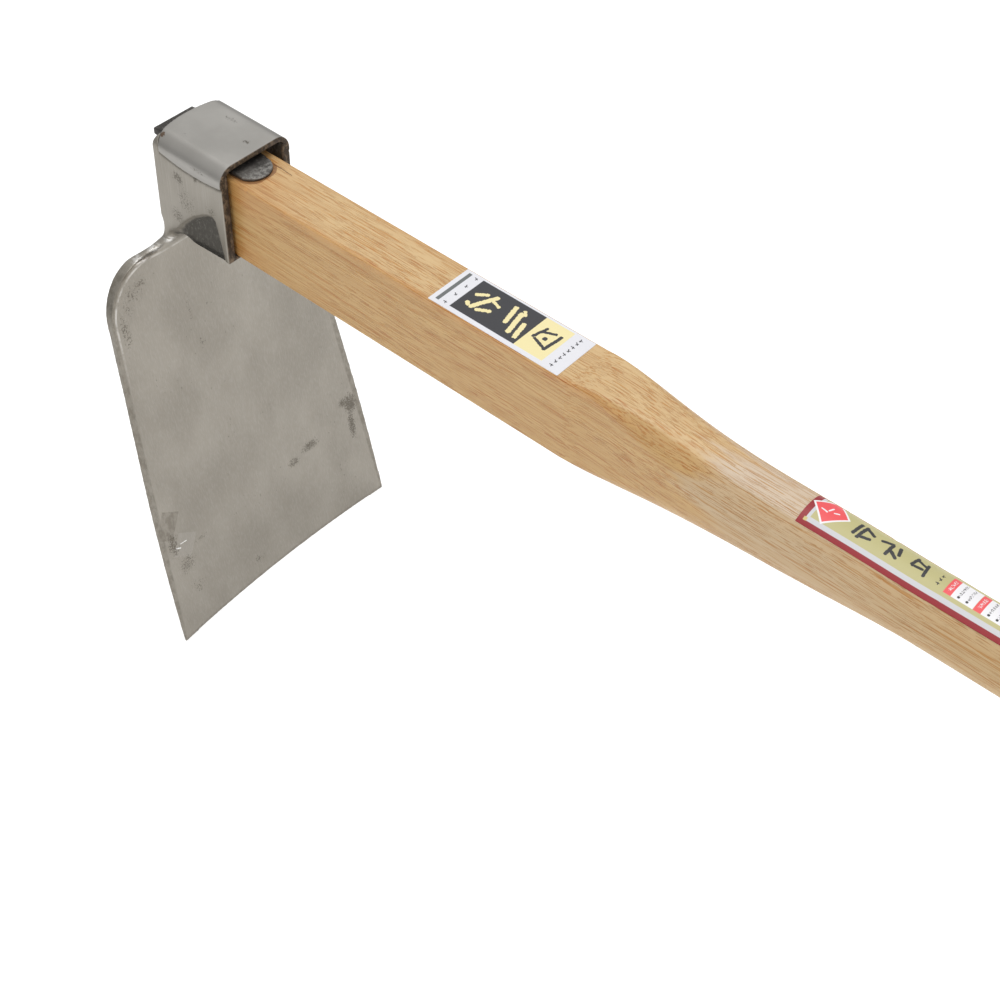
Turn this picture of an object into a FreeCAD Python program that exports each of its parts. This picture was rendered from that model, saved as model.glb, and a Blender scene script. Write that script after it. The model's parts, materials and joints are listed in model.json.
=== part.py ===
import FreeCAD, Part
import math
import os
import re
import Sketcher

# A wide-bladed draw hoe: a forged steel head on a straight wooden handle.
#
# Everything is drawn in the tool's own frame and then laid down as one.  In the
# tool's frame X runs along the handle from the head towards the grip, Y is
# across, Z goes up out of the handle's top face, and the origin is in the mouth
# of the socket, on the tenon's top face.  Depths are measured down from there
# and setbacks are measured back from the mouth.

sizes = {
    # handle: square where it fills the socket, round from the grip on
    "handleLength": 1050,
    "tenonWidth": 33,
    "tenonHeight": 52.3,
    "arris": 0.8,
    "squareReach": 235,       # square stretch in front of the mouth
    "gripStart": 440,         # where the taper has become the round grip
    "gripRadius": 18.1,
    "handStart": 600,         # from here to the butt the grip is of one radius
    "handRadius": 18,
    "gripDrop": 22.3,         # grip axis below the tenon's top face
    "buttRound": 6,
    # socket: two cheeks and a chin bent forward from the neck, a strap on top
    "socketLength": 55,
    "cheekWall": 5.8,
    "sideGap": 4,             # between a centred tenon and each cheek
    "socketShift": 2,         # the tenon lies off the middle of the socket
    "chinThickness": 3.2,
    "chinRise": 1.6,          # the chin is thinner at the lip
    "chinBelly": 2.8,         # it swells down into the neck
    "rimLean": 0.6,           # its lip reaches out past the mouth
    "heelStep": 1,            # the neck's back starts this far behind the cheeks
    "heelRise": 2.2,
    "neckStep": 4.7,          # and ends this far behind them, on the blade's back
    "neckFall": 4.5,
    "neckFront": 3.5,         # where the chin's underside meets the blade's front
    "strapThickness": 3,
    "strapCorner": 9.5,
    "strapLap": 4.6,          # the strap's ends come down over the cheeks
    "strapBow": 4.8,          # the strap's back edge is bowed
    # blade: leans towards the grip, hollow across, thick at the neck
    "headDepth": 332.2,
    "neckDrop": 8.3,          # from the chin down to where the blade begins
    "neckReach": 2.1,         # blade's front in front of the cheeks' backs there
    "bladeLean": 11.7,
    "bladeWidth": 191.4,
    "shoulderWidth": 154,
    "shoulderFall": 2.8,      # top of the shoulders below that
    "shoulderRadius": 35,
    "neckRadius": 9,
    "sideBow": 3,
    "dish": 4.7,              # hollow of the blade at its edge
    "neckThickness": 6.8,
    "shoulderThickness": 5.4,
    "bladeThickness": 1.4,
    "edgeThickness": 1,
    "steelDepth": 36,         # hard steel along the cutting edge
    # wedge: an iron plate driven in between the tenon and the strap
    "wedgeThickness": 6.4,
    "wedgeWidth": 29.3,
    "wedgeTipWidth": 22,
    "wedgeTip": 1.7,
    "wedgeHead": 4.2,         # it was thinned at its head, too, by forging
    "wedgeProud": 8,          # its head stands out behind the socket
    "wedgeNose": 12,          # its tip comes out of the mouth
    "wedgeOffset": 1.2,
    # labels: printed film on the square top face and over the grip
    "labelThickness": 0.2,
    "labelSetback": 6.3,      # from the label to where the square ends
    "labelLength": 85,
    "labelWidth": 31.2,
    "gripLabelStart": 366,
    "gripLabelLength": 200,
    "gripLabelWidth": 21.2,
}

# Sizes that follow from others; a rule may use the names that come after it.
derived = {
    "shoulderDepth": "neckDepth + shoulderFall",
    "neckDepth": "chinDepth + neckDrop",
    "chinDepth": "tenonHeight + chinThickness",
    "socketHalf": "tenonWidth / 2 + sideGap + cheekWall",
    "strapTop": "wedgeThickness + strapThickness",
    "labelStart": "squareReach - labelSetback - labelLength",
}

# The taper from the square to the round: share of the taper's length, then how
# far the half width, the top and the underside have come, then how round it is.
taperSections = (
    (0.28, 0.7, 0.24, 0.13, 0.74),
    (0.43, 1.3, 0.78, 0.31, 0.93),
    (0.58, 1.3, 0.91, 0.48, 0.97),
    (0.85, 1.2, 0.96, 0.87, 0.985),
)
nearlyRound = 0.99        # corner radius of the last taper section, over its half width
diagonal = math.sqrt(0.5)

doc = FreeCAD.newDocument("draw_hoe")
sheet = doc.addObject("Spreadsheet::Sheet", "dim")
for row, (alias, value) in enumerate(sizes.items(), start=1):
    sheet.set("A%d" % row, alias)
    sheet.set("B%d" % row, str(value))
    sheet.setAlias("B%d" % row, alias)
doc.recompute()


def bound(text):
    """The text of an expression, derived sizes written out and each alias led by the sheet's name."""
    for name, rule in derived.items():
        text = re.sub(r"\b%s\b" % name, "(%s)" % rule, text)
    return re.sub(r"[A-Za-z]+", lambda word: "dim." + word[0] if word[0] in sizes else word[0], text)


def value(text):
    return float(sheet.evalExpression(bound(text)))


def drive(thing, field, text):
    thing.setExpression(field, bound(text))


def originPlane(body, role):
    return next(plane for plane in body.Origin.OriginFeatures if plane.Role == role)


def pin(sketch, geometry, point, across, up):
    """Tie one point of the sketch to two expressions."""
    for kind, text in (("DistanceX", across), ("DistanceY", up)):
        rule = Sketcher.Constraint(kind, -1, 1, geometry, point, value(text))
        drive(sketch, "Constraints[%d]" % sketch.addConstraint(rule), text)


def outline(body, name, plane, corners, offset="0"):
    """A closed sketch through the corners; a corner marked "via" is passed by an arc."""
    sketch = body.newObject("Sketcher::SketchObject", name)
    sketch.AttachmentSupport = (originPlane(body, plane), [""])
    sketch.MapMode = "FlatFace"
    drive(sketch, "AttachmentOffset.Base.z", offset)
    spots = [FreeCAD.Vector(value(corner[0]), value(corner[1]), 0) for corner in corners]
    ends = [number for number, corner in enumerate(corners) if len(corner) == 2]
    joints = []
    for number, start in enumerate(ends):
        end = ends[(number + 1) % len(ends)]
        arc = (start + 1) % len(corners) != end
        if arc:
            middle = start + 1
            edge = sketch.addGeometry(Part.Arc(spots[start], spots[middle], spots[end]))
            mark = sketch.addGeometry(Part.Point(spots[middle]), True)
            pin(sketch, mark, 1, *corners[middle][:2])
            sketch.addConstraint(Sketcher.Constraint("PointOnObject", mark, 1, edge))
        else:
            edge = sketch.addGeometry(Part.LineSegment(spots[start], spots[end]))
        forward = sketch.getPoint(edge, 1).distanceToPoint(spots[start]) < 1e-6
        joints.append((edge, 1 if forward else 2, 2 if forward else 1))
        pin(sketch, edge, joints[-1][1], *corners[start])
    for (edge, first, last), (following, nextFirst, _) in zip(joints, joints[1:] + joints[:1]):
        sketch.addConstraint(Sketcher.Constraint("Coincident", edge, last, following, nextFirst))
    return sketch


def newBody(name, shift=None):
    """A body, moved across the handle if a shift is given."""
    body = doc.addObject("PartDesign::Body", name)
    if shift:
        drive(body, "Placement.Base.y", shift)
    return body


def extrude(body, sketch, length, kind="PartDesign::Pad", midplane=False):
    feature = body.newObject(kind, sketch.Name + kind.split("::")[1])
    feature.Profile = sketch
    feature.Midplane = midplane
    drive(feature, "Length", length)
    return feature


def loft(body, sketches, name, ruled=False):
    feature = body.newObject("PartDesign::AdditiveLoft", name)
    feature.Profile = sketches[0]
    feature.Sections = sketches[1:]
    feature.Ruled = ruled
    return feature


def combine(kind, name, base, tool):
    feature = doc.addObject("Part::" + kind, name)
    feature.Base = base
    feature.Tool = tool
    return feature


def box(name, corner, lengths):
    """A box set by its lowest corner and its three lengths, each an expression."""
    solid = doc.addObject("Part::Box", name)
    for field, text in zip(("Length", "Width", "Height"), lengths):
        drive(solid, field, text)
    for axis, text in zip("xyz", corner):
        drive(solid, "Placement.Base." + axis, text)
    return solid


# Handle

def roundedSection(body, name, offset, half, top, bottom, corner):
    """An upright rectangle across the handle, with rounded corners."""
    near = "(%s) * (1 - %.6f)" % (corner, diagonal)
    inner = "(%s) - (%s)" % (half, corner)
    corners = []
    for side, start, end in ((1, top, bottom), (-1, bottom, top)):
        down = -1 if start == top else 1
        first = ("%d * (%s)" % (side, inner), "-(%s)" % start)
        firstVia = ("%d * ((%s) - %s)" % (side, half, near), "-(%s) + %d * %s" % (start, down, near), "via")
        second = ("%d * (%s)" % (side, half), "-(%s) + %d * (%s)" % (start, down, corner))
        third = ("%d * (%s)" % (side, half), "-(%s) - %d * (%s)" % (end, down, corner))
        thirdVia = ("%d * ((%s) - %s)" % (side, half, near), "-(%s) - %d * %s" % (end, down, near), "via")
        fourth = ("%d * (%s)" % (side, inner), "-(%s)" % end)
        corners += [first, firstVia, second, third, thirdVia, fourth]
    return outline(body, name, "YZ_Plane", corners, offset)


def circle(body, name, offset, radius):
    """A circle round the grip's axis."""
    sketch = body.newObject("Sketcher::SketchObject", name)
    sketch.AttachmentSupport = (originPlane(body, "YZ_Plane"), [""])
    sketch.MapMode = "FlatFace"
    drive(sketch, "AttachmentOffset.Base.z", offset)
    centre = FreeCAD.Vector(0, -value("gripDrop"), 0)
    ring = sketch.addGeometry(Part.Circle(centre, FreeCAD.Vector(0, 0, 1), value(radius)))
    pin(sketch, ring, 3, "0", "-gripDrop")
    rule = Sketcher.Constraint("Radius", ring, value(radius))
    drive(sketch, "Constraints[%d]" % sketch.addConstraint(rule), radius)
    return sketch


def handleBody(name, skin="0"):
    """The whole handle, or one that is larger all round by the skin."""
    body = newBody(name)
    half = "tenonWidth / 2 + %s" % skin
    top = "-(%s)" % skin
    bottom = "tenonHeight + %s" % skin
    tenon = roundedSection(body, name + "Tenon", "-socketLength", half, top, bottom, "arris")
    extrude(body, tenon, "socketLength + squareReach")
    reach = "gripStart - squareReach"
    stations = [roundedSection(body, name + "Square", "squareReach", half, top, bottom, "arris")]
    for number, (share, wide, high, low, bend) in enumerate(taperSections):
        sectionHalf = "tenonWidth / 2 + (gripRadius - tenonWidth / 2) * %g + %s" % (wide, skin)
        stations.append(roundedSection(
            body, name + "Taper%d" % number,
            "squareReach + (%s) * %g" % (reach, share),
            sectionHalf,
            "(gripDrop - gripRadius) * %g - %s" % (high, skin),
            "tenonHeight + (gripDrop + gripRadius - tenonHeight) * %g + %s" % (low, skin),
            "(%s) * %g" % (sectionHalf, bend)))
    gripRadius = "gripRadius + %s" % skin
    stations.append(roundedSection(
        body, name + "Round", "gripStart", gripRadius,
        "gripDrop - (%s)" % gripRadius, "gripDrop + %s" % gripRadius,
        "(%s) * %g" % (gripRadius, nearlyRound)))
    loft(body, stations, name + "Loft")
    swell = circle(body, name + "Swell", "gripStart", gripRadius)
    loft(body, [swell, circle(body, name + "Slim", "handStart", "handRadius + %s" % skin)], name + "Fall")
    hand = circle(body, name + "Hand", "handStart", "handRadius + %s" % skin)
    extrude(body, hand, "handleLength - socketLength - handStart")
    return body


def roundButt(body):
    """Round the rim of the handle's far end."""
    doc.recompute()
    butt = value("handleLength - socketLength")
    last = body.Tip
    rims = ["Edge%d" % number for number, edge in enumerate(last.Shape.Edges, start=1)
            if edge.BoundBox.XMin > butt - 1e-3]
    rounding = body.newObject("PartDesign::Fillet", "buttRounding")
    rounding.Base = (last, rims)
    drive(rounding, "Radius", "buttRound")


def makeHandle():
    body = handleBody("stick")
    roundButt(body)
    return body


# Socket

def archSection(body, name, inset, bottom, offset="0"):
    """Straight sides and a flat top with round corners, set in from the strap's outside."""
    half = "socketHalf - %s" % inset
    top = "strapTop - %s" % inset
    corner = "(strapCorner - %s)" % inset
    near = "%s * (1 - %.6f)" % (corner, diagonal)
    return outline(body, name, "YZ_Plane", [
        ("%s" % half, "-(%s)" % bottom),
        ("%s" % half, "%s - %s" % (top, corner)),
        ("%s - %s" % (half, near), "%s - %s" % (top, near), "via"),
        ("%s - %s" % (half, corner), top),
        ("-(%s - %s)" % (half, corner), top),
        ("-(%s - %s)" % (half, near), "%s - %s" % (top, near), "via"),
        ("-(%s)" % half, "%s - %s" % (top, corner)),
        ("-(%s)" % half, "-(%s)" % bottom),
    ], offset)


def archBody(name, inset, overhang):
    """A long bar of that section, from behind the socket to its mouth or past it."""
    body = newBody(name, "socketShift")
    section = archSection(body, name + "Section", inset, "headDepth / 2", "-2 * socketLength")
    extrude(body, section, "2 * socketLength + %s" % overhang)
    return body


def strapBlank():
    """The strap before its ends are trimmed to the seam."""
    body = newBody("strapBlank", "socketShift")
    section = archSection(body, "strapSection", "0", "2 * strapLap", "-2 * socketLength")
    extrude(body, section, "2 * socketLength")
    past = "(socketHalf + strapCorner)"
    back = outline(body, "strapBack", "XY_Plane", [
        ("-3 * socketLength", "-" + past),
        ("-socketLength + strapBow", "-" + past),
        ("-socketLength + strapBow", "-socketHalf"),
        ("-socketLength", "0", "via"),
        ("-socketLength + strapBow", "socketHalf"),
        ("-socketLength + strapBow", past),
        ("-3 * socketLength", past),
    ])
    extrude(body, back, "4 * tenonHeight", "PartDesign::Pocket", midplane=True)
    return body


def underSeam():
    """All that is below the forge-welded seam along each cheek."""
    body = newBody("underSeam", "socketShift")
    seam = outline(body, "seamLine", "XZ_Plane", [
        ("-3 * socketLength", "1 - strapLap / 4"),
        ("-socketLength", "1 - strapLap / 4"),
        ("-socketLength * 0.35", "-strapLap", "via"),
        ("socketLength * 0.1", "-strapLap * 0.35"),
        ("socketLength * 0.1", "-headDepth"),
        ("-3 * socketLength", "-headDepth"),
    ])
    extrude(body, seam, "8 * socketHalf", midplane=True)
    return body


def cheekBlock(name, spread):
    """Cheeks, chin and neck seen from the side, as wide as the socket or wider."""
    body = newBody(name, "socketShift")
    side = outline(body, name + "Side", "XZ_Plane", [
        ("-socketLength", "strapTop - strapCorner"),
        ("-socketLength + strapBow * 0.3", "strapTop - strapCorner * 0.3", "via"),
        ("-socketLength + strapBow", "strapTop"),
        ("0", "strapTop"),
        ("rimLean", "-chinDepth + chinRise"),
        ("-socketLength * 0.62", "-chinDepth"),
        ("-socketLength * 0.8", "-chinDepth - chinBelly", "via"),
        ("-socketLength + neckFront", "-neckDepth - neckFall"),
        ("-socketLength - neckStep", "-neckDepth - neckFall"),
        ("-socketLength - heelStep", "-neckDepth + heelRise"),
    ])
    extrude(body, side, "2 * (socketHalf + %s)" % spread, midplane=True)
    return body


def channel():
    """The open trough between the cheeks that the tenon lies in."""
    gap = "(tenonWidth + 2 * sideGap)"
    return box("channel", ("-2 * socketLength", "socketShift - %s / 2" % gap, "-tenonHeight"),
               ("3 * socketLength", gap, "tenonHeight + 2 * strapTop"))


# Blade

bladeLevels = (      # depth, thickness, share of the dish
    ("tenonHeight - 6", "neckThickness", 0.05),
    ("neckDepth + 8", "neckThickness", 0.06),
    ("shoulderDepth + 26", "shoulderThickness", 0.1),
    ("shoulderDepth + 50", "(2 * shoulderThickness + bladeThickness) / 3", 0.16),
    ("shoulderDepth + 76", "(shoulderThickness + 3 * bladeThickness) / 4", 0.24),
    ("shoulderDepth + 112", "bladeThickness", 0.36),
    ("(shoulderDepth + headDepth) / 2 + 40", "bladeThickness", 0.66),
    ("headDepth + 8", "edgeThickness", 1.0),
)


def bladeFront(depth, share):
    """Setback of the blade's front on its middle line, at a depth."""
    return "-socketLength + neckReach + ((%s) - neckDepth) * tan(bladeLean) - dish * %g" % (depth, share)


def bladeSheet():
    """The leaning, hollow, tapering plate that the blade's outline is cut from."""
    body = newBody("bladeSheet")
    half = "(bladeWidth / 2)"
    past = "1.2"
    levels = []
    for number, (depth, thickness, share) in enumerate(bladeLevels):
        front = bladeFront(depth, share)
        rise = "dish * %g * %s ^ 2" % (share, past)
        thick = "(%s) / cos(bladeLean)" % thickness
        levels.append(outline(body, "bladeLevel%d" % number, "XY_Plane", [
            ("%s + %s" % (front, rise), "-%s * %s" % (half, past)),
            (front, "0", "via"),
            ("%s + %s" % (front, rise), "%s * %s" % (half, past)),
            ("%s + %s - %s" % (front, rise, thick), "%s * %s" % (half, past)),
            ("%s - %s" % (front, thick), "0", "via"),
            ("%s + %s - %s" % (front, rise, thick), "-%s * %s" % (half, past)),
        ], "-(%s)" % depth))
    loft(body, levels, "bladeSheetLoft", ruled=True)
    return body


def bladeFace():
    """The blade's outline from the front: neck, shoulders, sides and edge."""
    body = newBody("bladeFace")
    bend = "neckRadius * (1 - %.6f)" % diagonal
    turn = "shoulderRadius * (1 - %.6f)" % diagonal
    sideMiddle = "(shoulderWidth + bladeWidth) / 4 + sideBow"

    def side(sign):
        """From the neck down to a corner of the edge; sign is 1 or -1."""
        neck = "socketHalf + %d * socketShift" % sign
        corners = [
            (neck, "-tenonHeight"),
            (neck, "-shoulderDepth + neckRadius"),
            ("%s + %s" % (neck, bend), "-shoulderDepth + %s" % bend, "via"),
            ("%s + neckRadius" % neck, "-shoulderDepth"),
            ("shoulderWidth / 2 - shoulderRadius", "-shoulderDepth"),
            ("shoulderWidth / 2 - %s" % turn, "-shoulderDepth - %s" % turn, "via"),
            ("shoulderWidth / 2", "-shoulderDepth - shoulderRadius"),
            (sideMiddle, "-(shoulderDepth + shoulderRadius + headDepth) / 2", "via"),
            ("bladeWidth / 2", "-headDepth"),
        ]
        return [("%d * (%s)" % (sign, corner[0]),) + corner[1:] for corner in corners]

    half = side(1)
    mirrored = side(-1)[::-1]
    face = outline(body, "bladeOutline", "YZ_Plane", half + mirrored)
    extrude(body, face, "4 * headDepth", midplane=True)
    return body


def neckTrim():
    """What is cut off behind the neck, where the blade meets the cheeks' back edges."""
    body = newBody("neckTrim", "socketShift")
    back = outline(body, "neckBack", "XZ_Plane", [
        ("-socketLength - heelStep", "0"),
        ("-socketLength - heelStep", "-neckDepth + heelRise"),
        ("-socketLength - neckStep", "-neckDepth - neckFall"),
        ("-socketLength - neckStep", "-neckDepth - 2 * neckFall"),
        ("-2 * socketLength", "-neckDepth - 2 * neckFall"),
        ("-2 * socketLength", "0"),
    ])
    extrude(body, back, "2 * bladeWidth", midplane=True)
    return body


def steelZone():
    wide = "(2 * bladeWidth)"
    return box("steelZone", ("-headDepth", "-%s / 2" % wide, "-headDepth - steelDepth"),
               ("2 * headDepth", wide, "2 * steelDepth"))


def makeHead():
    """The forging, its hard steel edge and the strap that closes the socket."""
    strapBar = strapBlank()
    strapHollow = archBody("strapHollow", "strapThickness", "socketLength")
    seam = underSeam()
    strapRing = combine("Cut", "strapRing", strapBar, strapHollow)
    strap = combine("Cut", "socketStrap", strapRing, seam)
    strapRoom = combine("Cut", "strapRoom", strapRing, seam)

    arch = archBody("arch", "0", "socketLength")
    cheeks = combine("Common", "cheeksInArch", cheekBlock("cheekBlock", "0"), arch)
    face = bladeFace()
    plate = combine("Common", "bladePlate", bladeSheet(), face)
    web = combine("Common", "neckWeb", cheekBlock("neckBlock", "neckRadius"), face)
    trimmed = combine("Cut", "plateTrimmed", plate, neckTrim())
    webbed = combine("Fuse", "plateAndWeb", trimmed, web)
    joined = combine("Fuse", "cheeksAndBlade", cheeks, webbed)
    opened = combine("Cut", "openSocket", joined, channel())
    rebated = combine("Cut", "rebatedCheeks", opened, strapRoom)
    zone = steelZone()
    forging = combine("Cut", "headForging", rebated, zone)
    edge = combine("Common", "edgeSteel", rebated, zone)
    return forging, edge, strap


# Wedge

def makeWedge():
    """A tapered plate with a rounded tip, driven in from behind."""
    body = newBody("wedgePlate")
    tip = "wedgeTipWidth / 2"
    butt = "wedgeWidth / 2"
    back = "-socketLength - wedgeProud"
    plan = outline(body, "wedgePlan", "XY_Plane", [
        (back, "-%s - wedgeOffset" % butt),
        ("wedgeNose * 0.35", "-%s - wedgeOffset" % tip),
        ("wedgeNose", "-wedgeOffset", "via"),
        ("wedgeNose * 0.35", "%s - wedgeOffset" % tip),
        (back, "%s - wedgeOffset" % butt),
    ])
    extrude(body, plan, "wedgeThickness")
    slope = outline(body, "wedgeSlope", "XZ_Plane", [
        ("-socketLength * 0.7", "wedgeThickness"),
        ("2 * wedgeNose", "wedgeThickness"),
        ("2 * wedgeNose", "wedgeTip"),
        ("wedgeNose", "wedgeTip"),
    ])
    extrude(body, slope, "2 * wedgeWidth", "PartDesign::Pocket", midplane=True)
    head = outline(body, "wedgeHeadSlope", "XZ_Plane", [
        ("-socketLength * 0.8", "wedgeThickness"),
        (back, "wedgeHead"),
        (back + " - 1", "wedgeHead"),
        (back + " - 1", "wedgeThickness + 1"),
        ("-socketLength * 0.8", "wedgeThickness + 1"),
    ])
    extrude(body, head, "2 * wedgeWidth", "PartDesign::Pocket", midplane=True)
    return body


# Labels

def makeHandleLabel():
    body = newBody("labelFilm")
    sheetOutline = outline(body, "labelOutline", "XY_Plane", [
        ("labelStart", "-labelWidth / 2"),
        ("labelStart + labelLength", "-labelWidth / 2"),
        ("labelStart + labelLength", "labelWidth / 2"),
        ("labelStart", "labelWidth / 2"),
    ])
    extrude(body, sheetOutline, "labelThickness")
    return body


def makeGripLabel():
    """A strip of the skin over the handle, as wide as the label."""
    outer = handleBody("labelOver", "labelThickness")
    inner = handleBody("labelUnder")
    strip = box("labelStrip", ("gripLabelStart", "-gripLabelWidth / 2", "-gripDrop"),
                ("gripLabelLength", "gripLabelWidth", "2 * gripDrop"))
    wrapped = combine("Common", "labelOnGrip", outer, strip)
    return combine("Cut", "gripLabelFilm", wrapped, inner)


# Laying it down

def extent(shapes, turn):
    """The box round the shapes once they are turned."""
    total = FreeCAD.BoundBox()
    for shape in shapes:
        turned = shape.copy()
        turned.Placement = turn.multiply(shape.Placement)
        total.add(turned.optimalBoundingBox(False))
    return total


def turned(angle):
    return FreeCAD.Placement(FreeCAD.Vector(), FreeCAD.Rotation(FreeCAD.Vector(0, 1, 0), angle))


def restingPlacement(head, handle, everything):
    """Lie on the cutting edge and the butt, over the middle of the origin."""
    reach = value("handleLength - socketLength - (%s)" % bladeFront("headDepth", 0))
    angle = math.degrees(math.atan(value("headDepth - gripDrop - handRadius") / reach))
    for _ in range(6):
        lift = extent([handle], turned(angle)).ZMin - extent(head, turned(angle)).ZMin
        angle += math.degrees(math.atan(lift / reach))
    stance = turned(angle)
    room = extent(everything, stance)
    stance.Base = FreeCAD.Vector(-room.Center.x, -room.Center.y, -room.ZMin)
    return stance


forging, edge, strap = makeHead()
nodes = {
    "head_forging": forging,
    "edge_steel": edge,
    "socket_strap": strap,
    "handle": makeHandle(),
    "wedge": makeWedge(),
    "handle_label": makeHandleLabel(),
    "grip_label": makeGripLabel(),
}
doc.recompute()

shapes = {name: part.Shape.copy() for name, part in nodes.items()}
stance = restingPlacement([shapes["head_forging"], shapes["edge_steel"]], shapes["handle"], shapes.values())
for name, part in nodes.items():
    part.Label = name
    part.Placement = stance
doc.recompute()

faults = [thing.Name for thing in doc.Objects if {"Invalid", "Error"} & set(thing.State)]
for name, part in nodes.items():
    if part.Shape.isNull() or not part.Shape.isValid():
        faults.append(name)
if faults:
    raise RuntimeError("failed: " + ", ".join(faults))

os.makedirs("parts", exist_ok=True)
for name, part in nodes.items():
    part.Shape.exportStep("parts/%s.step" % name)
    solids = len(part.Shape.Solids)
    print("%-13s %d solid(s) %10.1f mm3" % (name, solids, part.Shape.Volume))
print("lies at %.6f degrees, moved %.6f %.6f %.6f mm"
      % (math.degrees(stance.Rotation.Angle), *stance.Base))
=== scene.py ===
import json
import math

import bpy
from mathutils import Euler, Matrix, Vector


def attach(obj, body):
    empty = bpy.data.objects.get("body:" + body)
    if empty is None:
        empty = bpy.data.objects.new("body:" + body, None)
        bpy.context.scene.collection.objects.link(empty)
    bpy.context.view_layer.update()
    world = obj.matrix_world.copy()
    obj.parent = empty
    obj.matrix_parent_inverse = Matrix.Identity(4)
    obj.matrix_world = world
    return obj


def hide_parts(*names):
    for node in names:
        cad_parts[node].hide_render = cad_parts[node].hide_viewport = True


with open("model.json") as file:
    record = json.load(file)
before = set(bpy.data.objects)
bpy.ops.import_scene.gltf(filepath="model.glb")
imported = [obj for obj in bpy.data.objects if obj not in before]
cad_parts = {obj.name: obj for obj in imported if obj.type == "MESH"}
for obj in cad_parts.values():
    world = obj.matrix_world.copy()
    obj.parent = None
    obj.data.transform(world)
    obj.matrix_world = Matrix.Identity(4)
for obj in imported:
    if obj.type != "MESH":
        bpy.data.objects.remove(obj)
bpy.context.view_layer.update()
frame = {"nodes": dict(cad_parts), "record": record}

# The hoe lies on its cutting edge and its butt. Pieces and finishes are laid out in the
# tool's own frame instead: x along the handle from the socket's mouth, y across, z up
# out of the handle's top face. All lengths are in metres.
mounts = {mount["name"]: mount for mount in frame["record"]["mounts"]}
along = Vector(mounts["grip"]["axis"]).normalized()
upward = Vector(mounts["socket_top"]["axis"]).normalized()
across = upward.cross(along)
socketTop = {"back": 0.0275, "side": 0.002, "height": 0.0094}  # the socket_top mount in that frame
mouth = (Vector(mounts["socket_top"]["pos_m"]) + along * socketTop["back"]
         - across * socketTop["side"] - upward * socketTop["height"])
lay = Matrix.Translation(mouth) @ Matrix((along, across, upward)).transposed().to_4x4()
tilt = math.atan2(-along.z, along.x)


# small helpers for pieces

def deselectAll():
    if bpy.context.object and bpy.context.object.mode != "OBJECT":
        bpy.ops.object.mode_set(mode="OBJECT")
    bpy.ops.object.select_all(action="DESELECT")


def choose(piece):
    deselectAll()
    piece.select_set(True)
    bpy.context.view_layer.objects.active = piece


def applyAll(piece):
    choose(piece)
    for modifier in list(piece.modifiers):
        bpy.ops.object.modifier_apply(modifier=modifier.name)


def moveBy(piece, matrix):
    choose(piece)
    piece.matrix_world = matrix
    bpy.ops.object.transform_apply(location=True, rotation=True, scale=True)


def copyOf(names, title):  # one merged mesh from some CAD nodes
    deselectAll()
    copies = []
    for name in names:
        source = frame["nodes"][name]
        copied = bpy.data.objects.new(title, source.data.copy())
        bpy.context.scene.collection.objects.link(copied)
        copied.select_set(True)
        copies.append(copied)
    bpy.context.view_layer.objects.active = copies[0]
    if len(copies) > 1:
        bpy.ops.object.join()
    piece = copies[0]
    piece.name = title
    piece.data.name = title
    choose(piece)
    bpy.ops.object.mode_set(mode="EDIT")
    bpy.ops.mesh.select_all(action="SELECT")
    bpy.ops.mesh.remove_doubles(threshold=0.00001)
    bpy.ops.object.mode_set(mode="OBJECT")
    return piece


def soften(piece, look, lean=0.0):  # worn, rounded metal from a sharp solid
    flat = Matrix.Rotation(math.radians(lean), 4, "Y") @ lay.inverted()
    stretched = Matrix.Diagonal((look["stretch"], 1, 1, 1))  # thin plates get more voxels
    moveBy(piece, flat)
    moveBy(piece, stretched)
    remesh = piece.modifiers.new("remesh", "REMESH")
    remesh.mode = "VOXEL"
    remesh.voxel_size = look["voxel"] * 1
    smooth = piece.modifiers.new("smooth", "SMOOTH")
    smooth.factor = 0.5
    smooth.iterations = look["passes"]
    applyAll(piece)
    moveBy(piece, stretched.inverted())
    moveBy(piece, flat.inverted())


def groupWhere(piece, title, weigh):  # a vertex group, weighted by place in the tool's frame
    group = piece.vertex_groups.new(name=title)
    back = lay.inverted()
    for vertex in piece.data.vertices:
        weight = weigh(back @ vertex.co)
        if weight > 0:
            group.add([vertex.index], min(weight, 1), "REPLACE")
    return group.name


def ease(value, low, high):  # 0 at low, 1 at high
    part = min(max((value - low) / (high - low), 0), 1)
    return part * part * (3 - 2 * part)


def lighten(piece, faces):  # thin the mesh to a number of faces
    count = sum(len(face.vertices) - 2 for face in piece.data.polygons)
    if count > faces:
        thin = piece.modifiers.new("thin", "DECIMATE")
        thin.ratio = faces / count
        applyAll(piece)
    choose(piece)
    bpy.ops.object.shade_smooth()
    print(piece.name, "has", len(piece.data.polygons), "faces")


def finishWith(piece, material):
    piece.data.materials.clear()
    piece.data.materials.append(material)


# small helpers for materials

def feed(tree, node, inputs):  # link each socket, or set each number
    for name, value in inputs.items():
        if isinstance(value, bpy.types.NodeSocket):
            tree.links.new(value, node.inputs[name])
        else:
            node.inputs[name].default_value = value


def place(tree, kind, inputs=None, **settings):
    made = tree.nodes.new(kind)
    for name, value in settings.items():
        setattr(made, name, value)
    feed(tree, made, inputs or {})
    return made


def maths(tree, operation, *values):
    return place(tree, "ShaderNodeMath", dict(enumerate(values)), operation=operation).outputs[0]


def times(tree, one, other):
    return maths(tree, "MULTIPLY", one, other)


def plus(tree, one, other):
    return maths(tree, "ADD", one, other)


def minus(tree, one, other):
    return maths(tree, "SUBTRACT", one, other)


def strongest(tree, masks):
    total = masks[0]
    for mask in masks[1:]:
        total = maths(tree, "MAXIMUM", total, mask)
    return total


def beyond(tree, value, limit):  # how far past a limit, or 0
    return maths(tree, "MAXIMUM", minus(tree, value, limit), 0.0)


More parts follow.
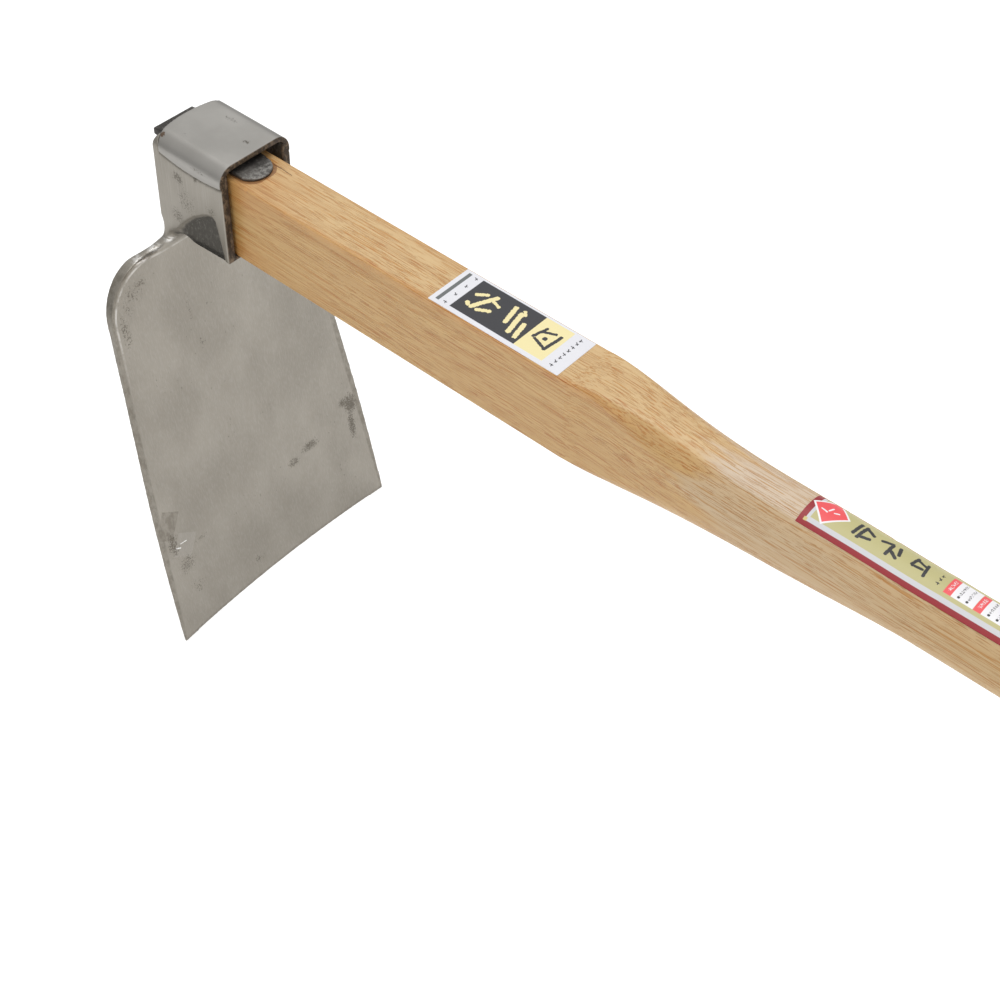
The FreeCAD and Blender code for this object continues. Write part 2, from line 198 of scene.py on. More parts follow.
def diagonal(tree, one, other):
    return maths(tree, "SQRT", plus(tree, times(tree, one, one), times(tree, other, other)))


def farFrom(tree, coords, centre, size):  # 1 on an ellipsoid of that size
    offset = place(tree, "ShaderNodeVectorMath", {0: coords, 1: centre}, operation="SUBTRACT").outputs[0]
    scaled = place(tree, "ShaderNodeVectorMath", {0: offset, 1: size}, operation="DIVIDE").outputs[0]
    return place(tree, "ShaderNodeVectorMath", {0: scaled}, operation="LENGTH").outputs["Value"]


def fade(tree, value, low, high):  # 0 below low, 1 above high, soft between
    made = place(tree, "ShaderNodeMapRange", {"Value": value, "From Min": low, "From Max": high})
    made.interpolation_type = "SMOOTHSTEP"
    return made.outputs["Result"]


def within(tree, value, low, high, soft):  # 1 between two values
    return times(tree, fade(tree, value, low - soft, low), fade(tree, value, high + soft, high))


def blend(tree, mask, under, over, how="MIX"):
    made = place(tree, "ShaderNodeMix", data_type="RGBA", blend_type=how)
    under, over = ((*tone, 1) if isinstance(tone, tuple) else tone for tone in (under, over))
    feed(tree, made, {0: mask, 6: under, 7: over})
    return made.outputs[2]


def noise(tree, vector, stretch, detail=2.0, roughness=0.5):
    scaled = place(tree, "ShaderNodeVectorMath", {0: vector, 1: stretch}, operation="MULTIPLY")
    made = place(tree, "ShaderNodeTexNoise", {"Vector": scaled.outputs[0], "Scale": 1.0,
                                              "Detail": detail, "Roughness": roughness})
    return made.outputs["Fac"]


def toolSpace(tree):  # the position in the tool's frame
    spot = place(tree, "ShaderNodeTexCoord").outputs["Object"]
    turned = place(tree, "ShaderNodeMapping", {"Vector": spot, "Location": mouth, "Rotation": (0, tilt, 0)},
                   vector_type="TEXTURE")
    return turned.outputs["Vector"]


def axes(tree, vector):
    return place(tree, "ShaderNodeSeparateXYZ", {"Vector": vector}).outputs


def newMaterial(title):
    material = bpy.data.materials.new(title)
    material.use_nodes = True
    tree = material.node_tree
    tree.nodes.clear()
    shader = tree.nodes.new("ShaderNodeBsdfPrincipled")
    surface = tree.nodes.new("ShaderNodeOutputMaterial")
    tree.links.new(shader.outputs[0], surface.inputs[0])
    return material, tree, shader


def bump(tree, shader, height, depth):
    made = place(tree, "ShaderNodeBump", {"Height": height, "Distance": depth, "Strength": 1.0})
    tree.links.new(made.outputs[0], shader.inputs["Normal"])


def newGroup(title, inputs, masks):
    tree = bpy.data.node_groups.new(title, "ShaderNodeTree")
    for name, kind in inputs.items():
        tree.interface.new_socket(name, in_out="INPUT", socket_type="NodeSocket" + kind)
    for name in masks:
        tree.interface.new_socket(name, in_out="OUTPUT", socket_type="NodeSocketFloat")
    return tree, tree.nodes.new("NodeGroupInput").outputs, tree.nodes.new("NodeGroupOutput")


def useGroup(tree, group, inputs):
    return place(tree, "ShaderNodeGroup", inputs, node_tree=group).outputs


# shared effects

def makeMetalWear():  # cloudy tone, brushing and pits, for every steel finish
    group, given, result = newGroup("metalWear", {"Position": "Vector"}, ("Cloud", "Brush", "Pits"))
    cloud = noise(group, given["Position"], (26, 26, 16), 4, 0.55)
    brush = noise(group, given["Position"], (1400, 1400, 26), 3, 0.6)
    speck = noise(group, given["Position"], (620, 620, 420), 1, 0.5)
    patchy = noise(group, given["Position"], (38, 38, 30), 2, 0.6)
    pits = times(group, fade(group, speck, 0.7, 0.76), fade(group, patchy, 0.52, 0.62))
    feed(group, result, {"Cloud": cloud, "Brush": brush, "Pits": pits})
    return group


def makeSmudge():  # specks of dirt, denser towards a centre
    group, given, result = newGroup("smudge", {"Position": "Vector", "Centre": "Vector", "Size": "Vector",
                                               "Grit": "Float", "Cover": "Float"}, ("Mask",))
    near = fade(group, farFrom(group, given["Position"], given["Centre"], given["Size"]), 1.1, 0.1)
    grit = place(group, "ShaderNodeTexNoise", {"Vector": given["Position"], "Scale": given["Grit"],
                                               "Detail": 5.0, "Roughness": 0.75}).outputs["Fac"]
    ragged = plus(group, times(group, near, given["Cover"]), grit)
    specks = fade(group, ragged, 0.72, 0.82)
    feed(group, result, {"Mask": times(group, specks, fade(group, near, 0.0, 0.25))})
    return group


def makeInkMark():  # a stroke with round ends and an edge as ragged as asked
    group, given, result = newGroup("inkMark", {
        "Position": "Vector", "Centre": "Vector", "Half": "Vector",
        "Turn": "Float", "Round": "Float", "Ragged": "Float"}, ("Mask",))
    offset = place(group, "ShaderNodeVectorMath", {0: given["Position"], 1: given["Centre"]},
                   operation="SUBTRACT")
    turned = place(group, "ShaderNodeVectorRotate", {"Vector": offset.outputs[0], "Angle": given["Turn"]},
                   rotation_type="Z_AXIS")
    x, y, z = axes(group, turned.outputs[0])
    halfX, halfY, halfZ = axes(group, given["Half"])
    far = diagonal(group, beyond(group, maths(group, "ABSOLUTE", x), halfX),
                   beyond(group, maths(group, "ABSOLUTE", y), halfY))
    grit = place(group, "ShaderNodeTexNoise", {"Vector": given["Position"], "Scale": 900.0, "Detail": 3.0})
    ragged = times(group, minus(group, grit.outputs["Fac"], 0.5), given["Ragged"])
    gap = minus(group, plus(group, far, ragged), given["Round"])
    feed(group, result, {"Mask": fade(group, gap, 0.0001, -0.0001)})
    return group


metalWear = makeMetalWear()
smudge = makeSmudge()
inkMark = makeInkMark()


def smudges(tree, coords, spots):
    masks = []
    for centre, size, grit, cover in spots:
        made = useGroup(tree, smudge, {"Position": coords, "Centre": centre, "Size": size,
                                       "Grit": grit, "Cover": cover})
        masks.append(made["Mask"])
    return strongest(tree, masks)


def inked(tree, coords, strokes, ragged=0.0):  # strokes and raggedness are in mm
    masks = []
    for x, y, halfX, halfY, turn, corner in strokes:
        made = useGroup(tree, inkMark, {
            "Position": coords, "Centre": (x / 1000, y / 1000, 0), "Half": (halfX / 1000, halfY / 1000, 0),
            "Turn": math.radians(turn), "Round": corner / 1000, "Ragged": ragged / 1000})
        masks.append(made["Mask"])
    return strongest(tree, masks)


# head

steelLook = {
    "pale": (0.325, 0.302, 0.263),
    "deep": (0.262, 0.242, 0.208),
    "brushed": (0.45, 0.43, 0.40),
    "bright": (0.62, 0.60, 0.57),
    "neckHighlight": (0.90, 0.89, 0.87),
    "glint": (0.85, 0.85, 0.84),
    "scale": (0.060, 0.055, 0.046),
    "scalePale": (0.17, 0.16, 0.14),
    "rim": (0.045, 0.030, 0.018),
    "rimPale": (0.17, 0.12, 0.075),
    "stain": (0.095, 0.080, 0.058),
    "tape": (0.20, 0.18, 0.15),
    "tapePale": (0.43, 0.41, 0.385),
    "rust": (0.10, 0.052, 0.022),
    "roughness": 0.38,
}
bladeDirt = [  # centre, size, grit, cover
    ((-0.048, -0.058, -0.084), (0.03, 0.020, 0.013), 700.0, 0.20),
    ((-0.047, -0.050, -0.080), (0.03, 0.010, 0.005), 900.0, 0.26),
    ((-0.044, -0.069, -0.104), (0.03, 0.007, 0.022), 800.0, 0.24),
    ((-0.042, -0.063, -0.092), (0.03, 0.010, 0.012), 1000.0, 0.20),
    ((-0.044, -0.022, -0.112), (0.03, 0.003, 0.030), 900.0, 0.20),
    ((-0.037, -0.020, -0.140), (0.03, 0.003, 0.010), 700.0, 0.22),
    ((-0.036, 0.010, -0.095), (0.04, 0.030, 0.020), 1100.0, 0.12),
    ((-0.014, 0.083, -0.250), (0.02, 0.010, 0.016), 800.0, 0.36),
    ((-0.012, 0.077, -0.246), (0.02, 0.008, 0.008), 1000.0, 0.34),
    ((-0.008, 0.081, -0.266), (0.02, 0.006, 0.024), 900.0, 0.36),
    ((-0.012, 0.043, -0.261), (0.02, 0.015, 0.007), 900.0, 0.33),
    ((-0.011, 0.027, -0.265), (0.02, 0.010, 0.007), 1000.0, 0.32),
    ((-0.012, -0.082, -0.258), (0.03, 0.008, 0.020), 800.0, 0.30),
    ((-0.010, -0.076, -0.278), (0.03, 0.014, 0.014), 1000.0, 0.26),
    ((-0.012, 0.040, -0.250), (0.02, 0.020, 0.020), 900.0, 0.14),
    ((-0.008, -0.020, -0.318), (0.03, 0.010, 0.009), 700.0, 0.22),
    ((-0.008, -0.072, -0.300), (0.03, 0.012, 0.012), 700.0, 0.22),
    ((-0.014, -0.060, -0.268), (0.03, 0.020, 0.005), 900.0, 0.20),
]
cheekDirt = [
    ((-0.036, -0.024, -0.012), (0.008, 0.01, 0.008), 900.0, 0.30),
    ((-0.021, -0.024, -0.006), (0.003, 0.01, 0.004), 900.0, 0.32),
    ((-0.030, -0.024, -0.026), (0.018, 0.01, 0.018), 900.0, 0.22),
    ((-0.040, -0.024, -0.040), (0.010, 0.01, 0.010), 900.0, 0.26),
    ((-0.010, -0.024, -0.022), (0.008, 0.01, 0.006), 900.0, 0.26),
]
neckHighlightSpots = [  # centre, size; spots of painted highlight on the neck's bend
    ((-0.053, -0.034, -0.0655), (0.008, 0.0060, 0.0032)),
    ((-0.050, -0.024, -0.0630), (0.006, 0.0050, 0.0030)),
    ((-0.053, -0.045, -0.0680), (0.010, 0.0070, 0.0022)),
]
bladeTape = {  # along, across, half length, half width, turn, rounding; in mm
    "brown": [(-82.0, -242.5, 6.8, 9.5, 33, 0.3)],
    "clear": [(-73.5, -264.0, 7.6, 8.0, 33, 0.3)],
    "glint": [(-79.0, -263.0, 1.8, 0.1, 30, 0.35), (-74.0, -261.5, 2.6, 0.1, 8, 0.2)],
}
shoulder = {"middle": 0.042, "height": -0.1016, "radius": 0.035, "flare": 0.081}  # rounding, and side below


def outlineInset(tree, y, z):  # distance in from the blade's top and side edges
    below = beyond(tree, shoulder["height"], z)
    reach = plus(tree, shoulder["middle"], times(tree, below, shoulder["flare"]))
    far = diagonal(tree, beyond(tree, maths(tree, "ABSOLUTE", y), reach), beyond(tree, z, shoulder["height"]))
    return minus(tree, shoulder["radius"], far)


def bladeRims(tree, coords, bladeOnly, blotches):  # the near shoulder's painted highlight line, and the darker rim and cutting edge
    x, y, z = axes(tree, coords)
    inset = outlineInset(tree, y, z)
    nearShoulder = times(tree, fade(tree, z, -0.150, -0.085), fade(tree, y, 0.02, -0.02))
    broken = fade(tree, noise(tree, coords, (90, 90, 90), 4, 0.7), 0.38, 0.62)
    # painted highlight along the near shoulder's rounded edge
    shoulderHighlight = times(tree, within(tree, inset, 0.0026, 0.0031, 0.0007), times(tree, nearShoulder, bladeOnly))
    side = times(tree, fade(tree, inset, 0.0024, 0.0010), bladeOnly)
    cuttingEdge = fade(tree, z, -0.3288, -0.3312)
    uneven = plus(tree, 0.35, times(tree, blotches, 0.65))
    return times(tree, shoulderHighlight, broken), times(tree, strongest(tree, [side, cuttingEdge]), uneven)


def paintedNeckHighlight(tree, coords):  # painted highlight on the neck's bend, where the light would catch it
    spots = [fade(tree, farFrom(tree, coords, centre, size), 1.0, 0.2) for centre, size in neckHighlightSpots]
    streaky = fade(tree, noise(tree, coords, (300, 300, 900), 3, 0.6), 0.35, 0.60)
    return times(tree, strongest(tree, spots), streaky)


def withTape(tree, coords, colour, blotches):  # what two pieces of tape left on the blade, and a painted glint on the clear tape
    x, y, z = axes(tree, coords)
    flat = place(tree, "ShaderNodeCombineXYZ", {"X": y, "Y": z}).outputs[0]  # across and down the blade
    brown = times(tree, inked(tree, flat, bladeTape["brown"]), plus(tree, 0.6, blotches))
    colour = blend(tree, times(tree, brown, 0.52), colour, steelLook["tape"])
    clear = inked(tree, flat, bladeTape["clear"])
    colour = blend(tree, times(tree, clear, 0.20), colour, steelLook["tapePale"])
    # painted glint: small highlights on the clear tape's edges
    glint = inked(tree, flat, bladeTape["glint"], 0.5)
    return blend(tree, times(tree, glint, 0.8), colour, steelLook["glint"])


def offMiddle(tree, y):  # distance from the socket's middle plane
    return maths(tree, "ABSOLUTE", minus(tree, y, socketTop["side"]))


def cheekScaleAndShade(tree, coords):  # forge scale left in the cheeks' hollows, painted near black to stand also for the shade there
    x, y, z = axes(tree, coords)
    sunken = fade(tree, offMiddle(tree, y), 0.0261, 0.0249)
    socketOnly = times(tree, fade(tree, z, -0.0585, -0.0570), fade(tree, x, -0.0480, -0.0450))
    flakes = fade(tree, noise(tree, coords, (700, 700, 300), 4, 0.7), 0.48, 0.70)
    return times(tree, sunken, socketOnly), flakes


def mouthRim(tree, coords):  # brown oxide on the cheeks' front faces
    x, y, z = axes(tree, coords)
    return times(tree, fade(tree, x, -0.0014, -0.0004), fade(tree, offMiddle(tree, y), 0.0262, 0.0254))


def oxide(tree, coords, grain):
    mottle = fade(tree, noise(tree, coords, grain, 4, 0.7), 0.45, 0.65)
    return blend(tree, mottle, steelLook["rim"], steelLook["rimPale"])


def makeForgedSteel():
    material, tree, shader = newMaterial("forgedSteel")
    coords = toolSpace(tree)
    x, y, z = axes(tree, coords)
    wear = useGroup(tree, metalWear, {"Position": coords})
    colour = blend(tree, fade(tree, wear["Cloud"], 0.3, 0.7), steelLook["deep"], steelLook["pale"])
    brushed = times(tree, fade(tree, wear["Brush"], 0.4, 0.75), 0.22)
    colour = blend(tree, brushed, colour, steelLook["brushed"])
    bladeOnly = fade(tree, z, -0.066, -0.072)
    blotches = fade(tree, noise(tree, coords, (260, 260, 160), 4, 0.7), 0.40, 0.62)
    shoulderHighlight, rims = bladeRims(tree, coords, bladeOnly, blotches)
    colour = blend(tree, times(tree, rims, 0.45), colour, steelLook["stain"])
    # painted highlight line on the near shoulder
    colour = blend(tree, times(tree, shoulderHighlight, 0.65), colour, steelLook["bright"])
    # painted highlight on the neck's bend
    neckHighlight = paintedNeckHighlight(tree, coords)
    colour = blend(tree, times(tree, neckHighlight, 0.75), colour, steelLook["neckHighlight"])
    colour = withTape(tree, coords, colour, blotches)
    dirt = strongest(tree, [times(tree, smudges(tree, coords, bladeDirt), bladeOnly),
                            times(tree, smudges(tree, coords, cheekDirt), minus(tree, 1.0, bladeOnly)),
                            times(tree, wear["Pits"], 0.5)])
    colour = blend(tree, times(tree, dirt, 0.72), colour, steelLook["stain"])
    scale, flakes = cheekScaleAndShade(tree, coords)
    scaleTone = blend(tree, flakes, steelLook["scale"], steelLook["scalePale"])
    # forge scale and painted shade darken the hollows
    colour = blend(tree, times(tree, scale, 0.93), colour, scaleTone)
    rim = mouthRim(tree, coords)
    colour = blend(tree, rim, colour, oxide(tree, coords, (330, 330, 200)))
    dull = strongest(tree, [dirt, scale, rim])
    rough = plus(tree, steelLook["roughness"], times(tree, wear["Cloud"], 0.10))
    rough = plus(tree, rough, times(tree, dull, 0.25))
    polish = times(tree, strongest(tree, [shoulderHighlight, neckHighlight]), 0.15)
    feed(tree, shader, {"Base Color": colour, "Roughness": minus(tree, rough, polish),
                        "Metallic": minus(tree, 1.0, times(tree, dull, 0.6))})
    height = plus(tree, times(tree, wear["Cloud"], 0.5), times(tree, wear["Brush"], 0.06))
    bump(tree, shader, plus(tree, height, times(tree, times(tree, scale, flakes), 0.5)), 0.0005)
    return material


head = {
    "voxel": 0.0008, "stretch": 3.0, "passes": 14, "lean": 11.7, "faces": 180000,
    "neckPasses": 260,
    "hollowDepth": 0.0032,
    "cheekPlanes": (-0.0243, 0.0283),
    # the hollow hammered into each cheek's lower corner, setback and height, anticlockwise
    "hollow": (
        (-0.0430, -0.0510), (-0.0300, -0.0590), (-0.0010, -0.0590), (-0.0014, -0.0520),
        (-0.0031, -0.0440), (-0.0046, -0.0355), (-0.0062, -0.0275), (-0.0098, -0.0246),
        (-0.0160, -0.0265), (-0.0270, -0.0338), (-0.0370, -0.0430),
    ),
}


def insideBy(point, corners):  # how far inside the outline a point lies
    nearest = 1.0
    for (x0, z0), (x1, z1) in zip(corners, corners[1:] + corners[:1]):
        length = math.hypot(x1 - x0, z1 - z0)
        nearest = min(nearest, ((x1 - x0) * (point.z - z0) - (z1 - z0) * (point.x - x0)) / length)
    return nearest


def hollowCheek(piece, side):  # press the corner inwards
    plane = head["cheekPlanes"][side > 0]

    def weigh(point):
        if abs(point.y - plane) > 0.0012 or point.z > -0.02 or point.x < -0.046:
            return 0
        deepening = 0.35 + 0.65 * ease(point.x, -0.042, -0.022)
        return ease(insideBy(point, head["hollow"]), 0, 0.0050) * deepening

    press = piece.modifiers.new("press", "DISPLACE")
    press.vertex_group = groupWhere(piece, "hollow", weigh)
    press.direction = "Y"
    press.mid_level = 0
    press.strength = -side * head["hollowDepth"]
    applyAll(piece)


def melt(piece):  # draw the neck down smoothly into the blade
    def weigh(point):
        return (ease(0.054 - abs(point.y - 0.002), 0, 0.014) * ease(point.z, -0.090, -0.074)
                * ease(-0.047 - point.z, 0, 0.007) * ease(-0.028 - point.x, 0, 0.008))

    smooth = piece.modifiers.new("melt", "SMOOTH")
    smooth.vertex_group = groupWhere(piece, "neck", weigh)
    smooth.factor = 0.5
    smooth.iterations = head["neckPasses"]
    applyAll(piece)


def makeHead(material):
    piece = copyOf(["head_forging", "edge_steel"], "forgedHead")
    soften(piece, head, head["lean"])
    melt(piece)
    hollowCheek(piece, -1)
    hollowCheek(piece, 1)
    lighten(piece, head["faces"])
    finishWith(piece, material)
    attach(piece, "root")
    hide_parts("head_forging", "edge_steel")


# strap

strapDirt = [
    ((-0.010, 0.006, 0.009), (0.004, 0.003, 0.01), 500.0, 0.34),
    ((-0.032, 0.015, 0.009), (0.010, 0.004, 0.01), 800.0, 0.24),
    ((-0.040, -0.012, 0.009), (0.008, 0.006, 0.01), 800.0, 0.16),
    ((-0.018, -0.024, 0.001), (0.012, 0.01, 0.003), 700.0, 0.22),
]
strapRust = [((-0.050, -0.020, 0.009), (0.003, 0.003, 0.01), 500.0, 0.40)]
strapLook = {
    "pale": (0.43, 0.416, 0.39),
    "deep": (0.365, 0.352, 0.328),
    "shade": (0.20, 0.19, 0.175),
    "roughness": 0.34,
    "bendMiddle": 0.0168,  # the rounded corners turn about here
    "innerRadius": 0.0070,
}


def makeStrapSteel():
    material, tree, shader = newMaterial("strapSteel")
    coords = toolSpace(tree)
    x, y, z = axes(tree, coords)
    wear = useGroup(tree, metalWear, {"Position": coords})
    colour = blend(tree, fade(tree, wear["Cloud"], 0.3, 0.7), strapLook["deep"], strapLook["pale"])
    sideways = offMiddle(tree, y)
    # painted shade on the strap's rounded bend
    bendShade = within(tree, sideways, 0.0215, 0.0245, 0.004)
    colour = blend(tree, times(tree, bendShade, 0.30), colour, strapLook["shade"])
    dirt = smudges(tree, coords, strapDirt)
    colour = blend(tree, times(tree, dirt, 0.7), colour, steelLook["stain"])
    colour = blend(tree, times(tree, smudges(tree, coords, strapRust), 0.8), colour, steelLook["rust"])
    far = diagonal(tree, beyond(tree, sideways, strapLook["bendMiddle"]), beyond(tree, z, -0.0001))
    inner = fade(tree, far, strapLook["innerRadius"] + 0.0006, strapLook["innerRadius"])
    mouthFace = fade(tree, x, -0.0010, -0.0003)
    dull = strongest(tree, [inner, mouthFace])
    # painted shadow on the strap's sides near the seam
    seamShadow = times(tree, fade(tree, z, 0.0030, -0.0040), fade(tree, sideways, 0.0250, 0.0260))
    colour = blend(tree, times(tree, seamShadow, 0.35), colour, strapLook["shade"])
    colour = blend(tree, dull, colour, oxide(tree, coords, (420, 420, 420)))
    rough = plus(tree, strapLook["roughness"], times(tree, wear["Cloud"], 0.12))
    feed(tree, shader, {"Base Color": colour, "Roughness": plus(tree, rough, times(tree, dull, 0.25)),
                        "Metallic": minus(tree, 1.0, times(tree, dull, 0.6))})
    height = plus(tree, times(tree, wear["Cloud"], 0.6), times(tree, wear["Brush"], 0.05))
    bump(tree, shader, minus(tree, height, times(tree, dirt, 0.25)), 0.0006)
    return material


strap = {"voxel": 0.00042, "stretch": 1.0, "passes": 5, "faces": 70000}


def makeStrap(material):
    piece = copyOf(["socket_strap"], "socketStrap")
    soften(piece, strap)
    lighten(piece, strap["faces"])
    finishWith(piece, material)
    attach(piece, "root")
    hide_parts("socket_strap")


# wedge

ironLook = {
    "pale": (0.12, 0.112, 0.102),
    "deep": (0.050, 0.046, 0.042),
    "rubbed": (0.20, 0.19, 0.175),
    "wornAndHighlight": (0.30, 0.29, 0.27),
    "roughness": 0.4,
}


def makeDarkIron():
    material, tree, shader = newMaterial("darkIron")
    coords = toolSpace(tree)
    x, y, z = axes(tree, coords)
    wear = useGroup(tree, metalWear, {"Position": coords})
    colour = blend(tree, fade(tree, wear["Cloud"], 0.35, 0.7), ironLook["deep"], ironLook["pale"])
    rubbed = noise(tree, coords, (420, 420, 420), 4, 0.7)
    colour = blend(tree, times(tree, fade(tree, rubbed, 0.5, 0.7), 0.6), colour, ironLook["rubbed"])
    # the nose's top made lighter: partly worn bare, partly painted highlight
    nose = times(tree, fade(tree, x, 0.0005, 0.0080), fade(tree, z, 0.0008, 0.0014))
    wornAndHighlight = times(tree, nose, plus(tree, 0.35, fade(tree, rubbed, 0.42, 0.58)))
    colour = blend(tree, times(tree, wornAndHighlight, 0.60), colour, ironLook["wornAndHighlight"])
    rough = plus(tree, ironLook["roughness"], times(tree, rubbed, 0.25))
    feed(tree, shader, {"Base Color": colour, "Roughness": rough, "Metallic": 0.8})
    bump(tree, shader, rubbed, 0.0006)
    return material


wedge = {"voxel": 0.0004, "stretch": 1.0, "passes": 8, "faces": 50000}


def makeWedge(material):
    piece = copyOf(["wedge"], "drivenWedge")
    soften(piece, wedge)
    lighten(piece, wedge["faces"])
    finishWith(piece, material)
    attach(piece, "root")
    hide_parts("wedge")


# handle

woodLook = {
    "pale": (0.620, 0.428, 0.208),
    "deep": (0.510, 0.310, 0.130),
    "side": (0.87, 0.80, 0.64),
    "fleck": (0.74, 0.47, 0.22),
    "line": (0.84, 0.62, 0.36),
    "bare": (0.605, 0.485, 0.360),
    "grip": (0.590, 0.445, 0.280),
    "ember": (0.56, 0.27, 0.075),
    "knot": (0.20, 0.07, 0.02),
    "varnishEnd": 0.318,
}
woodMarks = {  # along, across, half length, half width, turn, rounding; in mm
    "noseShadow": [(1.6, -1.2, 2.4, 3.4, 0, 8.9)],
    "crack": [(9.0, 10.3, 2.6, 0.05, 0, 0.28), (15.5, 10.1, 5.0, 0.02, 3, 0.14)],
    "knots": [(41.0, -15.8, 0.6, 0.3, 0, 0.5), (11.0, -15.9, 0.5, 0.3, 0, 0.6),
              (81.6, 13.6, 1.0, 0.3, 0, 0.4)],
}


def alongGrain(tree, coords):  # the grain runs nearly along the handle, a little wavy
    x, y, z = axes(tree, coords)
    wave = times(tree, minus(tree, noise(tree, coords, (9, 40, 40), 1, 0.5), 0.5), 0.004)
    rise = plus(tree, z, times(tree, x, 0.018))
    return place(tree, "ShaderNodeCombineXYZ", {"X": x, "Y": plus(tree, y, wave),
                                                "Z": plus(tree, rise, wave)}).outputs[0]


def varnished(tree, x, grain):  # the varnish ends in ragged tongues
    tongues = noise(tree, grain, (7, 95, 95), 2, 0.6)
    edge = plus(tree, x, times(tree, minus(tree, tongues, 0.5), 0.11))
    return fade(tree, edge, woodLook["varnishEnd"] + 0.012, woodLook["varnishEnd"] - 0.012)


# painted shade: the handle's side faces darker than its top
def shadedSideFaces(tree, x, y, bare):
    taper = maths(tree, "MINIMUM", beyond(tree, x, 0.235), 0.05)
    reach = plus(tree, maths(tree, "ABSOLUTE", y), times(tree, taper, 0.11))
    return times(tree, fade(tree, reach, 0.0145, 0.0166), minus(tree, 1.0, times(tree, bare, 0.12)))


def embers(tree, coords, broad):  # orange wood along the top arrises and near the mouth
    x, y, z = axes(tree, coords)
    arris = times(tree, within(tree, maths(tree, "ABSOLUTE", y), 0.0158, 0.0170, 0.003),
                  fade(tree, z, -0.006, -0.001))
    mouthGlow = times(tree, fade(tree, x, 0.055, -0.01), fade(tree, broad, 0.30, 0.62))
    return strongest(tree, [times(tree, times(tree, arris, fade(tree, broad, 0.40, 0.65)), 0.40),
                            times(tree, mouthGlow, 0.55)])


def fineGrain(tree, grain):  # long broken lines and short flecks
    lines = fade(tree, noise(tree, grain, (5, 1800, 1800), 1, 0.4), 0.54, 0.60)
    breaks = fade(tree, noise(tree, grain, (60, 1800, 1800), 1, 0.4), 0.42, 0.54)
    pores = fade(tree, noise(tree, grain, (70, 2000, 2000), 1, 0.5), 0.58, 0.63)
    patchy = fade(tree, noise(tree, grain, (12, 110, 110), 2, 0.5), 0.30, 0.60)
    return times(tree, lines, plus(tree, 0.30, times(tree, breaks, 0.70))), times(tree, pores, patchy)


def makeWood():
    material, tree, shader = newMaterial("handleWood")
    coords = toolSpace(tree)
    x, y, z = axes(tree, coords)
    grain = alongGrain(tree, coords)
    streaks = noise(tree, grain, (3, 130, 130), 3, 0.55)
    broad = noise(tree, grain, (2.2, 34, 34), 2, 0.5)
    colour = blend(tree, times(tree, fade(tree, streaks, 0.7, 0.3), 0.5), woodLook["pale"], woodLook["deep"])
    colour = blend(tree, times(tree, fade(tree, broad, 0.45, 0.75), 0.30), colour, woodLook["deep"])
    varnish = varnished(tree, x, grain)
    bare = minus(tree, 1.0, varnish)
    dry = blend(tree, fade(tree, x, 0.36, 0.48), woodLook["bare"], woodLook["grip"])
    dry = blend(tree, times(tree, fade(tree, streaks, 0.65, 0.35), 0.25), dry, woodLook["deep"])
    colour = blend(tree, bare, colour, dry)
    # painted shade on the handle's sides
    colour = blend(tree, shadedSideFaces(tree, x, y, bare), colour, woodLook["side"], "MULTIPLY")
    ember = times(tree, embers(tree, coords, broad), varnish)
    colour = blend(tree, ember, colour, woodLook["ember"])
    fine, flecks = fineGrain(tree, grain)
    colour = blend(tree, times(tree, fine, 0.95), colour, woodLook["line"], "MULTIPLY")
    colour = blend(tree, times(tree, flecks, 0.75), colour, woodLook["fleck"], "MULTIPLY")
    topOnly = fade(tree, z, -0.004, -0.001)
    # painted contact shadow on the wood around the wedge's nose
    noseShadow = times(tree, inked(tree, coords, woodMarks["noseShadow"], 0.7), topOnly)
    knots = times(tree, inked(tree, coords, woodMarks["knots"], 1.2), topOnly)
    crack = times(tree, inked(tree, coords, woodMarks["crack"], 0.25), topOnly)
    for mark, cover, tone in ((noseShadow, 0.70, "knot"), (knots, 0.55, "ember"), (crack, 0.85, "knot")):
        colour = blend(tree, times(tree, mark, cover), colour, woodLook[tone])
    feed(tree, shader, {"Base Color": colour, "Roughness": minus(tree, 0.60, times(tree, varnish, 0.16)),
                        "Coat Weight": times(tree, varnish, 0.22), "Coat Roughness": 0.3})
    height = minus(tree, times(tree, streaks, 0.3), times(tree, strongest(tree, [fine, flecks]), 0.35))
    bump(tree, shader, minus(tree, height, times(tree, crack, 2.0)), 0.00025)
    return material


# labels; their marks are generic

